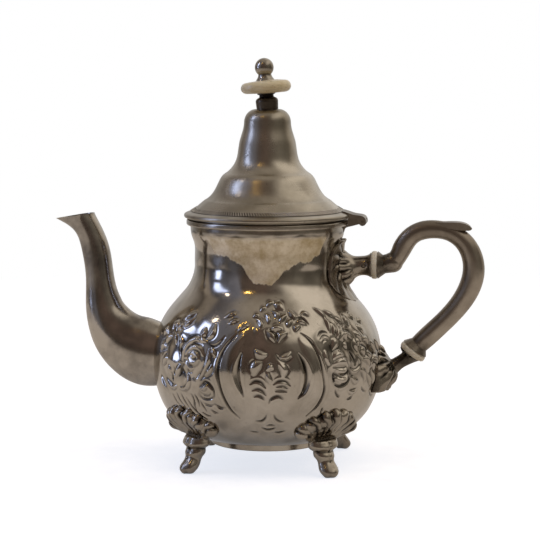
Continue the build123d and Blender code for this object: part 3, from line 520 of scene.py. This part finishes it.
# Raised strokes: (half width, (degrees, height) ...). First the crest and the panel's buds,
# then the flower towards the spout, then the looser one towards the handle.
for half_width, *marks in (
    (1.0, (7, 92), (8.5, 93.3), (11, 94)),
    (0.9, (3.2, 89.8), (4.5, 91), (6.2, 91.6)),
    (0.9, (-0.7, 87), (0.8, 87.8), (2.2, 87.7)),
    (1.0, (5.3, 88.3), (7.4, 87.5), (8.2, 85.4), (7.6, 84.2)),
    (1.0, (0.8, 86), (3, 85.2), (4, 83.2), (3.3, 82.2)),
    (1.0, (10, 90), (12.5, 88.6), (12.2, 86.2)),
    (1.8, (12, 93.2), (14.5, 92.3), (17, 90.5)),
    (1.1, (14.5, 84.2), (15.5, 86.3), (18.5, 88)),
    (1.1, (18.3, 82), (19, 84), (21, 85.5)),
    (1.1, (20, 90), (22, 87.4), (23.8, 85.8)),
    (1.2, (9.5, 81.2), (12, 81.9), (14.7, 81.2)),
    (1.6, (7, 80.2), (9.6, 78), (11, 75)),
    (1.3, (12.4, 74.6), (13.8, 77.8), (17.4, 79.4)),
    (1.3, (22, 80), (23, 82), (25.3, 82.4)),
    (1.1, (23.5, 84.2), (26.5, 84.4), (29.2, 82.8)),
    (0.9, (27, 87.6), (29.6, 88.4), (31.8, 86.5)),
    (1.1, (36.5, 90.5), (40.2, 88), (42, 85)),
    (1.0, (-17.5, 86.4), (-14, 88), (-11.5, 88.6)),
    (1.0, (-14, 83.4), (-11.5, 84.9), (-9, 85.1)),
    (0.7, (-8.5, 80), (-5, 82.4), (-3, 83.1)),
    (1.5, (1.2, 71), (3.6, 68.7), (6.8, 68.6)),
    (1.5, (13.2, 66.8), (16.3, 67.3), (18.5, 69.4)),
    (1.9, (0.8, 58.5), (1.6, 62.5), (4.2, 64.8)),
    (1.3, (12.8, 64.2), (15, 61), (14.6, 57.2)),
    (0.9, (7.2, 59.4), (7.8, 56.4), (8.8, 53.8)),
    (0.8, (7.2, 60.6), (8.6, 62.4), (9.6, 61.4)),
    (1.4, (-39, 63.5), (-38.3, 68), (-36.5, 72), (-32.5, 74.6), (-28.8, 74.8)),
    (1.2, (-36.8, 66.5), (-34, 69.4), (-30.5, 70.8), (-27.2, 69.4), (-25.6, 66.6)),
    (0.9, (-33, 66.8), (-31, 67.8), (-28.6, 66.2), (-28.4, 64)),
    (1.3, (-37.6, 62.6), (-35.5, 61.4), (-33, 59.5), (-31, 60)),
    (1.2, (-34.5, 64.4), (-32, 62.6), (-29.5, 62.8), (-27.4, 65)),
    (0.9, (-22.6, 71), (-22.5, 67), (-23.4, 62), (-26, 57), (-29, 53.3)),
    (1.1, (-20.7, 62.4), (-22.2, 59), (-24.4, 56.2)),
    (1.0, (-28.6, 77.6), (-27.7, 74.8), (-24.4, 73.8)),
    (1.2, (-22, 82.5), (-22.4, 77.8), (-25.4, 75.4)),
    (1.2, (-27.4, 80.5), (-27.6, 77.5), (-29.5, 76.5)),
    (1.1, (-21.3, 70.8), (-20.2, 68.6), (-19, 66.5)),
    (1.1, (-45.5, 83), (-42.4, 85.2), (-39, 87)),
    (1.1, (-43, 79.4), (-40.3, 82), (-37.8, 85)),
    (1.3, (-47, 77.8), (-45.3, 79.4), (-43.5, 80.3)),
    (1.2, (-53, 77), (-52, 80.4), (-49.5, 80.6), (-48, 77)),
    (1.3, (-55.5, 69.4), (-53.8, 73), (-51, 74.2)),
    (1.1, (-48.5, 76), (-46.5, 74), (-46, 70.5)),
    (1.2, (-43.2, 75), (-41.5, 72), (-42, 69)),
    (1.6, (-61, 73.6), (-59, 76), (-56.5, 75)),
    (1.4, (-60, 66), (-57.5, 69), (-54.5, 68)),
    (1.4, (-57, 58.5), (-53, 62), (-50.5, 62.5)),
    (1.3, (-41, 60), (-42, 57.2), (-43.5, 54)),
    (1.5, (-38, 60.4), (-36.4, 59), (-35.4, 57)),
    (1.0, (-36, 57.5), (-34, 53.5), (-35, 49.8), (-38, 47.8), (-41.5, 47.8)),
    (1.2, (-52.5, 51.5), (-50, 49), (-46.5, 47.6), (-43.5, 48.6)),
    (1.2, (-58, 52), (-56.5, 48), (-53, 45)),
    (1.2, (-49, 59), (-48.5, 56), (-47, 53.4)),
    (1.2, (-26.8, 48.6), (-25.2, 49.9), (-23.4, 51.4)),
    (1.1, (40.8, 85.4), (42.2, 83), (41.6, 78.4)),
    (1.1, (43.8, 84), (44.3, 80), (43.2, 77)),
    (1.1, (46.8, 82.6), (46.6, 78.5), (45, 75.3)),
    (1.1, (49.6, 81.3), (48.5, 77.5), (47, 74.3)),
    (1.1, (42.8, 89), (46, 87), (48.5, 85.2)),
    (1.0, (47.5, 86), (50.4, 83.6), (52.6, 81.4)),
    (1.8, (42, 74.6), (43, 72.8), (41.4, 69.6)),
    (1.1, (47.8, 73.6), (50, 77), (53.4, 76.4), (55.5, 73.8)),
    (1.8, (49.6, 75.4), (51, 75.6), (52, 74.6)),
    (1.0, (48.8, 72.4), (50.4, 69.6)),
    (1.1, (56.6, 73.4), (57, 70.4), (57.8, 67.2)),
    (1.1, (59.2, 73.6), (59.4, 70.2)),
    (1.2, (55, 85.2), (56.4, 80.8)),
    (1.0, (61.4, 86), (63, 83)),
    (1.0, (67.2, 83), (69, 80.4)),
    (1.1, (58.6, 77), (60.8, 74.4), (62.4, 72.3)),
    (1.0, (63, 80.4), (65, 77.6), (66.4, 75)),
    (1.1, (64.2, 72.6), (67.4, 72.4), (69.6, 69.6)),
    (1.8, (61, 67.4), (63, 66.8), (63.6, 64.6)),
    (1.1, (36.6, 69.8), (36.9, 66), (38.2, 62.3)),
    (1.7, (41, 65.2), (43.6, 67), (46.6, 66.4)),
    (1.3, (41, 62), (44, 63.2), (47.6, 62.6), (49.6, 60)),
    (1.1, (40.6, 59.8), (44, 58.4), (47.6, 58.2), (49.8, 60.6)),
    (1.2, (42, 54.4), (45, 53.2), (48, 53.3), (49.6, 55)),
    (0.9, (56.6, 65.4), (58.4, 62), (58.4, 59), (56, 57), (53, 57), (51.4, 59)),
    (1.2, (59.4, 57), (62, 55.6), (63.4, 52.6), (63, 49.6)),
    (1.3, (62.4, 62.8), (65.2, 62), (67.4, 58.4)),
    (1.2, (69.6, 59), (72.4, 61.6), (76, 60.4), (77.6, 57)),
    (1.2, (72, 70.4), (74.6, 67.4), (75, 64)),
    (1.2, (66.4, 66), (68.4, 63.6), (70.6, 63.4)),
    (1.2, (65.5, 54), (68.4, 50.4), (68.8, 47)),
    (1.2, (78, 71), (80.4, 67.4), (80.6, 63.6)),
    (1.2, (79, 56.6), (82, 53), (82, 49)),
    (1.1, (52.4, 54), (55, 51.6), (57.6, 51.4)),
    (1.1, (70, 55), (72.8, 51.4), (73.4, 47.4)),
    (1.0, (51, 46.6), (54, 45.8), (57, 47)),
):
    work(marks, half_width, 0.8, 0.35)

# Chased strokes, in the same order.
for half_width, *marks in (
    (1.0, (-1.3, 53.3), (1.2, 55), (4.2, 54.4), (6.6, 51.4)),
    (0.9, (-0.6, 50), (2.4, 50.9), (5, 49.6), (6.9, 47)),
    (0.9, (0, 46.4), (2.5, 47.3), (4.8, 46.2), (6, 44.5)),
    (1.0, (10, 53.4), (12.6, 55), (16, 54.6), (18.3, 52.5)),
    (0.7, (11, 52), (14.6, 52.4), (17.6, 50.6)),
    (0.7, (10.4, 50.2), (14, 49.9), (17.4, 49.4)),
    (1.0, (7.8, 42.4), (9, 45.4), (12.4, 46.9), (15.4, 45)),
    (1.0, (1, 33), (4, 32.7), (6, 34.4), (6.8, 36.8)),
    (1.0, (10.4, 36.8), (11.4, 34.2), (13.8, 32.4), (16.2, 32.4)),
    (0.8, (6.5, 30), (9, 30.3), (11.6, 30)),
    (0.9, (3.8, 29), (7, 27.6), (10, 28), (11.6, 28.8)),
    (0.9, (11, 26), (14, 25.7), (17.6, 26.8)),
    (0.7, (-3, 26.6), (0, 26), (2.4, 26)),
    (0.8, (11.2, 69), (13.2, 66.2), (16.4, 65.4), (19.4, 67)),
    (0.9, (23.8, 86.4), (27, 86), (30, 83)),
    (0.9, (8.4, 81), (11.6, 78.6), (12.2, 75.4)),
    (0.8, (-24.2, 73), (-20, 72), (-17, 74), (-14.5, 77.6)),
    (1.0, (-28.2, 50.4), (-26, 50.6), (-24.2, 52.8), (-21.6, 51.6), (-19.8, 48.6), (-19.6, 44.6)),
    (0.7, (-27.5, 47.4), (-25, 46), (-22.3, 46), (-21.3, 47.6)),
    (0.7, (-28, 44.6), (-25, 43.7), (-21.6, 44.2), (-20, 45.6)),
    (0.7, (-27.4, 42), (-25, 40.6), (-22, 40.3), (-19.4, 41.6)),
    (1.0, (-20, 41.6), (-18, 40), (-16.4, 39.4), (-14.4, 39.8)),
    (0.9, (-23, 38), (-21, 36.5), (-18.4, 36.2)),
    (0.8, (-29, 35.6), (-26, 34), (-23.4, 34)),
    (0.8, (-33.6, 46), (-32.4, 42), (-33, 38.4), (-32, 36.4)),
    (0.8, (-31.4, 45.6), (-29.8, 42), (-29.4, 38.4)),
    (0.9, (-37.6, 43.4), (-35.6, 39.5), (-33.6, 36.4), (-30, 33.2), (-27, 32)),
    (0.8, (-41, 45), (-39.6, 41), (-37.4, 37.4)),
    (0.8, (-28.6, 43), (-27.5, 40), (-25.4, 36)),
    (0.8, (-44.6, 45), (-43.4, 41), (-41.4, 38)),
    (0.8, (-48.6, 44), (-47.2, 40.4), (-45, 37.4)),
    (1.0, (-50, 57.4), (-47, 54.4), (-46, 50.6)),
    (0.9, (-45, 59.4), (-44.8, 54)),
    (1.0, (-39.6, 72.4), (-40.4, 69), (-40, 65.6)),
    (1.0, (-34, 71.6), (-30.4, 72.6), (-27, 71.6)),
    (0.9, (-31, 65.2), (-30, 64.4), (-29.4, 65.2)),
    (0.6, (34, 76.4), (36, 78.6), (39, 78.4), (41, 76)),
    (0.6, (34.6, 74.6), (37, 76.9), (39.5, 76.2), (40.5, 74)),
    (0.6, (35.6, 73), (37.2, 74.9), (39.4, 73.6)),
    (1.0, (41, 57.6), (44.5, 55.6), (48, 56), (50.2, 58.4)),
    (1.1, (41.4, 51.6), (45, 50.2), (49, 51.4), (51, 54.4)),
    (0.9, (40.6, 58), (41.2, 53)),
    (0.9, (42, 48.4), (43.4, 45.6), (46, 44)),
    (0.8, (50, 42), (53, 42.5), (55, 43.6)),
    (0.8, (36, 39), (36.4, 36.6)),
    (0.9, (52, 68), (54.4, 64), (55, 60)),
    (0.8, (60, 70.4), (62.6, 70), (65, 68.4)),
    (0.8, (60.4, 48), (63, 45.4), (66.4, 44)),
    (0.8, (70, 44), (73.4, 41), (77, 40.4)),
):
    work(marks, half_width, -0.55, 0.3)

# A few planishing dents show in the polish between the marks.
soft = np.random.default_rng(7)
for around in np.arange(-175, 180, 11.0):
    boss(around, soft.uniform(98, 122), soft.uniform(5, 9), -0.09)
    boss(around + 4, soft.uniform(20, 30), soft.uniform(5, 8), -0.12)

outward = np.stack([slope[:, 1], -slope[:, 0]], 1)
lift = lift.reshape(columns, len(skin_line))
for ease in range(2):      # the sheet between blows comes up in one soft swell
    lift = (np.roll(lift, 1, 0) + 2 * lift + np.roll(lift, -1, 0)) / 4
    lift[:, 1:-1] = (lift[:, :-2] + 2 * lift[:, 1:-1] + lift[:, 2:]) / 4
depth_gain = 1.45          # the strokes above are drawn shallow, and the pot is deeply worked
deepest, proudest = -1.15, 1.7
lift = np.clip(lift * depth_gain, deepest, proudest)
turn = np.arctan2(grid[:, 0, 1], grid[:, 0, 0])[:, None]
push = lift[..., None] * np.stack(
    [outward[:, 0] * np.cos(turn), outward[:, 0] * np.sin(turn), outward[:, 1] + 0 * turn], -1
)
grid[:, : len(skin_line)] += push
hollow = np.zeros((columns, rows))
hollow[:, : len(skin_line)] = np.clip(-lift * 2.0 - 0.12, 0, 1)
seam_height = 127.7
seam = seam_height + 0.35 * np.sin(11 * turn) + 0.2 * np.sin(37 * turn + 1)
smeared = 0.45 + 0.3 * np.sin(7 * turn + 2) + 0.25 * np.sin(23 * turn)
hollow[:, : len(skin_line)] = np.maximum(      # the collar's solder, left dark
    hollow[:, : len(skin_line)],
    np.clip(smeared, 0, 1) * np.exp(-(((skin_line[:, 1] - seam) / 0.7) ** 2)),
)

# A pale patch is painted on the front of the neck: a painted reflection of the table cloth, laid on
# as a pale colour on duller, less metallic silver. Its lower edge hangs to a point in the middle.
table_reflection_edge = np.array([
    (-58, 126.3), (-43.4, 124.3), (-38, 117.7), (-30.3, 116.9), (-22.5, 115.3), (-15, 113.3),
    (-10.8, 109.7), (-6.5, 105.3), (0, 102.4), (8, 102), (14.5, 104.5), (21.4, 109.7),
    (28.4, 112.6), (40.5, 113.7), (52, 117), (56, 126),
])
front = (np.degrees(turn) + 90 + 180) % 360 - 180
ragged = 0.5 * np.sin(front * 0.43) + 0.3 * np.sin(front * 0.97 + 1) + 0.12 * np.sin(front * 2.3)
edge_height = np.interp(front, *table_reflection_edge.T, left=200, right=200) + ragged
table_reflection_mask = np.zeros((columns, rows))
table_reflection_mask[:, : len(skin_line)] = np.clip((skin_line[:, 1] - edge_height) / 0.5, 0, 1) * np.clip(
    (127.5 - skin_line[:, 1]) / 2.0, 0, 1
)

# Chased and polished plate: near a mirror where it is smooth, clouded by handling, with the painted
# reflection of the table on the front of its neck.
chased_silver = silver(
    "chased_silver", "#bcb4a9", "#a39b8f", 0.13, blackened=0.9, hammer=0.12, table_reflection=True
)
vessel = piece("vessel", vessel_points, vessel_faces, chased_silver, 60)
for layer, values in (("hollow", hollow), ("table_reflection_mask", table_reflection_mask)):
    vessel.data.attributes.new(layer, "FLOAT", "POINT").data.foreach_set("value", values.ravel())
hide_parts("body_shell")
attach(vessel, "pot")


def finish(material, *nodes):
    """Give the CAD nodes of these names their material."""
    for node in nodes:
        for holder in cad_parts[node].material_slots:
            holder.material = material


# ---------------------------------------------------------------- pan, strainer and collar
# The pan under the vessel, the pierced strainer over the spout's hole and the rolled collar
# at the mouth are bent from the same sheet and soldered on. Buffing leaves them a little softer
# than a mirror, and the collar keeps the lines of the roller.
buffed_silver = silver("buffed_silver", "#b5ada1", "#958c80", 0.2, blackened=0.5)
finish(buffed_silver, "base_plate", "strainer")
rolled_silver = silver("rolled_silver", "#b9b1a5", "#8f867a", 0.2, blackened=0.8, spun=0.5)
finish(rolled_silver, "mouth_collar")


# ---------------------------------------------------------------- spout
# The spout is a tube raised from sheet, seamed, filled and bent over pitch to its S, then
# soldered over the strainer. Its lip is cut to a leaf. Handling keeps it bright below.
raised_silver = silver("raised_silver", "#b8b0a5", "#756f69", 0.19, blackened=0.5, hammer=0.1,
                       joints=[((-62.5, 0, 62), 15)])
finish(raised_silver, "spout")


# ---------------------------------------------------------------- lid
# The tiered lid is spun from sheet on a lathe: fine lines run round it and the finish is
# satin. A knurling wheel has rolled a band of slanting nicks just inside its rim.
spun_silver = silver("spun_silver", "#b4ac9f", "#958d7f", 0.29, blackened=0.6, spun=0.6,
                     scratches=0.4)
finish(spun_silver, "lid_dome", "lid_bezel")

band_foot = np.array([39.1, 140.2])
band_head = np.array([41.9, 138.5])
nicks = 180
nick_slant = math.radians(2.0)
nick_points, nick_faces = [], []
for nick in range(nicks):
    start = 2 * math.pi * nick / nicks
    half = 0.30 * 2 * math.pi / nicks
    kept = 0.30 + 0.05 * math.sin(3 * start) - 0.09 * max(0, -math.cos(start - 0.9))
    corners = []
    for (radius, rise), turned_by in ((band_foot, 0.0), (band_head, nick_slant)):
        for side, up in ((-half, -0.5), (-0.7 * half, kept), (0.7 * half, kept), (half, -0.5)):
            bearing = start + turned_by + side
            corners.append((radius * math.cos(bearing), radius * math.sin(bearing), rise + up))
    base = len(nick_points)
    nick_points += corners
    for face in ((0, 1, 5, 4), (1, 2, 6, 5), (2, 3, 7, 6), (3, 0, 4, 7), (3, 2, 1, 0), (4, 5, 6, 7)):
        nick_faces.append([base + corner for corner in face])
band_mesh = bpy.data.meshes.new("knurled_band")
band_mesh.from_pydata([tuple(c * mm for c in point) for point in nick_points], [], nick_faces)
# The tops of the nicks are coloured lighter than the lid: partly rubbed bright by the hand that
# lifts the lid, partly a painted highlight.
band_mesh.materials.append(silver("nick_wear_and_highlight_silver", "#d3cbbf", "#b3aa9d", 0.24))
knurled_band = bpy.data.objects.new("knurled_band", band_mesh)
bpy.context.scene.collection.objects.link(knurled_band)
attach(knurled_band, "lid")

# Between the nicks the band is dull and coloured dark: painted shade in the grooves, with the oxide
# of the wheel's bite.
bite_line = np.array([(38.9, 140.1), (39.1, 140.25), (40.6, 139.0), (41.9, 138.65), (42.1, 138.1)])
bite_points, bite_faces = turned(bite_line, 240)
groove_shade_silver = silver("groove_shade_silver", "#5c544a", "#3c362f", 0.4)
band_bite = piece("band_bite", bite_points, bite_faces, groove_shade_silver)
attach(band_bite, "lid")

# The hinge's leaf and bracket are cast and filed, a greyer and duller metal than the sheet.
filed_silver = silver("filed_silver", "#9a9185", "#746b60", 0.3, blackened=0.9)
finish(filed_silver, "lid_leaf", "hinge_bracket")

# Pins, stud and nut are of drawn wire, dull with handling and dark at their ends.
pin_silver = silver("pin_silver", "#8f867a", "#6c6359", 0.3, blackened=0.6)
finish(pin_silver, "hinge_pin", "upper_socket_pin", "upper_handle_pin", "lower_handle_pin",
       "finial_stud", "finial_nut")


# ---------------------------------------------------------------- finial
# A cast base is soldered to the crown, under the disc, and is coloured near black. A disc of bone
# turns loose on its stud, held by a cast ball that fingers keep bright. The stud stands a little
# askew.
dark_base_silver = silver("dark_base_silver", "#6b6258", "#453e37", 0.32, blackened=0.9)
finish(dark_base_silver, "finial_base")
cast_ball_silver = silver("cast_ball_silver", "#aca498", "#8c8479", 0.24, blackened=0.8)
finish(cast_ball_silver, "finial_ball")


def bone(name, pale, deep):
    """Polished bone: cream, with long fine grain, brown pores and a waxy gloss."""
    made = bpy.data.materials.new(name)
    made.use_nodes = True
    tree = made.node_tree
    tree.nodes.clear()
    spot = add(tree, "TexCoord").outputs["Object"]
    along = add(tree, "Mapping", {"Vector": spot, "Scale": (0.25, 1.0, 1.0)}).outputs[0]
    grain = add(
        tree, "TexNoise", {"Vector": along, "Scale": per(1.6), "Detail": 5.0, "Roughness": 0.65}
    ).outputs["Fac"]
    cream = add(
        tree, "ValToRGB", {"Fac": grain}, stops=[(0.3, deep), (0.62, pale)]
    ).outputs["Color"]
    pores = add(
        tree, "TexNoise", {"Vector": along, "Scale": per(0.5), "Detail": 2.0}
    ).outputs["Fac"]
    pores = add(
        tree, "MapRange", {"Value": pores, "From Min": 0.66, "From Max": 0.74}
    ).outputs[0]
    cream = add(
        tree, "Mix", {"Factor": pores, 6: cream, 7: linear("#7c6240")}, data_type="RGBA"
    ).outputs[2]
    waxed = add(
        tree, "BsdfPrincipled",
        {"Base Color": cream, "Roughness": 0.28, "IOR": 1.54, "Subsurface Weight": 0.12,
         "Subsurface Radius": (0.004, 0.003, 0.002), "Subsurface Scale": 1.0},
    ).outputs[0]
    add(tree, "OutputMaterial", {"Surface": waxed})
    return made


# The rings at the handle are still white, and the disc has yellowed.
finish(bone("ring_bone", "#f1ede4", "#d9d2c4"), "upper_insulator", "lower_insulator")
disc_bone = bone("disc_bone", "#e4d9bb", "#d0c09a")
lean = math.radians(4.5)
crown_height, disc_rise = 193.5, 11.9
stud_way = np.array([-math.sin(lean), 0, math.cos(lean)])
disc_middle = np.array([0, 0, crown_height]) + disc_rise * stud_way
disc_edge = np.linspace(-0.5 * math.pi, 0.5 * math.pi, 25)
rim = np.stack([10.3 + 3.2 * np.cos(disc_edge), 3.1 * np.sin(disc_edge)], 1)
bore = 2.7
disc_line = np.vstack([[(bore, -2.9), (6.0, -3.25)], rim, [(6.0, 3.6), (bore, 3.4)]])
disc_points, disc_faces = turned(even(np.vstack([disc_line, disc_line[:1]]), 0.4)[:-1], 120)
radius = np.linalg.norm(disc_points[:, :2], axis=1)
round_disc = np.arctan2(disc_points[:, 1], disc_points[:, 0])
uneven = 1 + 0.012 * np.sin(2 * round_disc + 0.6) + 0.008 * np.sin(5 * round_disc)
disc_points[:, :2] *= np.where(radius > 5, uneven, 1)[:, None]
disc_points[:, 2] *= 1 + 0.05 * np.sin(round_disc + 2)
tilted = np.array(Matrix.Rotation(-lean, 3, "Y"))
disc = piece("bone_disc", disc_points @ tilted.T + disc_middle, disc_faces, disc_bone, 50)
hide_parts("finial_disc")
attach(disc, "disc")


# ---------------------------------------------------------------- brackets and feet
# The two handle brackets and the four feet are cast from worn moulds: fluted leaves and
# shells with lumpy stems. They are filed little and soldered on, and the oxide of the
# soldering has stayed black in every hollow.
cast_silver = silver("cast_silver", "#a89f92", "#7d7469", 0.24, blackened=1.0,
                     joints=[((59, 0, 109.4), 10), ((76, 0, 59), 20)])


def ripple(points, size, seed):
    """The soft lumps of a worn casting, about one in height, of a size in millimetres."""
    draw = np.random.default_rng(seed)
    waves = draw.normal(0, 2.2 / size, (9, 3))
    return np.sin(points @ waves.T + draw.uniform(0, 6.3, 9)).sum(1) / 3.5


def cast(node, grain, relief):
    """Take a CAD node's shape, even its mesh out and work the mould's relief into it."""
    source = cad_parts[node]
    rough = bpy.data.objects.new("rough_" + node, source.data.copy())
    bpy.context.scene.collection.objects.link(rough)
    evened = rough.modifiers.new("evened", "REMESH")
    evened.mode = "VOXEL"
    evened.voxel_size = grain * mm
    eased = rough.modifiers.new("eased", "SMOOTH")
    eased.factor = 0.5
    eased.iterations = 3
    graph = bpy.context.evaluated_depsgraph_get()
    mesh = bpy.data.meshes.new_from_object(rough.evaluated_get(graph))
    bpy.data.objects.remove(rough)
    count = len(mesh.vertices)
    points, normals = np.empty(count * 3), np.empty(count * 3)
    mesh.vertices.foreach_get("co", points)
    mesh.vertex_normals.foreach_get("vector", normals)
    points, normals = points.reshape(-1, 3) / mm, normals.reshape(-1, 3)
    raised = relief(points)
    points += normals * raised[:, None]
    points[:, 2] = np.maximum(points[:, 2], 0)  # the soles stand flat on the table
    mesh.vertices.foreach_set("co", (points * mm).ravel())
    mesh.polygons.foreach_set("use_smooth", [True] * len(mesh.polygons))
    mesh.materials.clear()
    mesh.materials.append(cast_silver)
    made = bpy.data.objects.new("cast_" + node, mesh)
    bpy.context.scene.collection.objects.link(made)
    mesh.attributes.new("hollow", "FLOAT", "POINT").data.foreach_set(
        "value", np.clip(-raised * 2.2 - 0.15, 0, 1)
    )
    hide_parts(node)
    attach(made, "pot")


def foot_relief(points):
    """Ribs fanning over the shell's lobes, and knops and a split leaf down the stem."""
    out = np.hypot(points[:, 0], points[:, 1])
    round_pot = np.arctan2(points[:, 1], points[:, 0])
    aside = (np.mod(round_pot, math.pi / 2) - math.pi / 4) * out
    height = points[:, 2]
    fan = np.arctan2(aside, height - 14.0)
    on_shell = np.clip((height - 20.5) / 2.0, 0, 1)
    on_stem = np.clip((19.5 - height) / 1.5, 0, 1) * np.clip((height - 2.0) / 2.0, 0, 1)
    ribs = 0.9 * (np.abs(np.cos(11 * fan + 0.25 * np.sin(height))) - 0.62)
    knops = 0.75 * np.exp(-(((height - 16.0) / 1.3) ** 2)) + 0.6 * np.exp(
        -(((height - 10.8) / 1.5) ** 2)
    )
    cuts = -0.5 * np.exp(-(((height - 13.4) / 0.8) ** 2)) - 0.5 * np.exp(
        -((aside / 0.7) ** 2)
    ) * (height > 8)
    return on_shell * ribs + on_stem * (knops + cuts) + 0.22 * ripple(points, 5.0, 3)


foot_grain, bracket_grain = 0.34, 0.36
for node in ("foot_front_left", "foot_front_right", "foot_back_left", "foot_back_right"):
    cast(node, foot_grain, foot_relief)


def leaf_relief(middle, flutes, depth, stem, seed):
    """Flutes fanning round a bracket's stem, which itself is left smooth."""
    def relief(points):
        aside, rise = points[:, 1], points[:, 2] - middle
        spread = np.hypot(aside, rise)
        fan = np.arctan2(aside, rise)
        on_leaf = np.clip((spread - stem) / 2.0, 0, 1) * np.clip((18 - spread) / 5, 0.3, 1)
        flute = depth * (np.abs(np.cos(flutes / 2 * fan + 0.2 * spread)) - 0.6)
        return on_leaf * (flute + 0.22 * ripple(points, 4.0, seed))
    return relief


cast("upper_bracket", bracket_grain, leaf_relief(109.4, 14, 1.05, 6.6, 5))
cast("lower_bracket", bracket_grain, leaf_relief(56.0, 14, 1.0, 5.4, 6))


# ---------------------------------------------------------------- handle
# The handle is cast hollow in two halves, soldered together and filed round, and pinned
# through a bone ring at each end, which keeps the hand cool. Soot stays round the rings.
# The palm has worn its polish to a soft grey.
handle_silver = silver("handle_silver", "#a89e91", "#867c70", 0.33, blackened=0.4,
                       joints=[((61, 0, 109.4), 19), ((81, 0, 62), 15)])
finish(handle_silver, "handle", "thumb_rest")
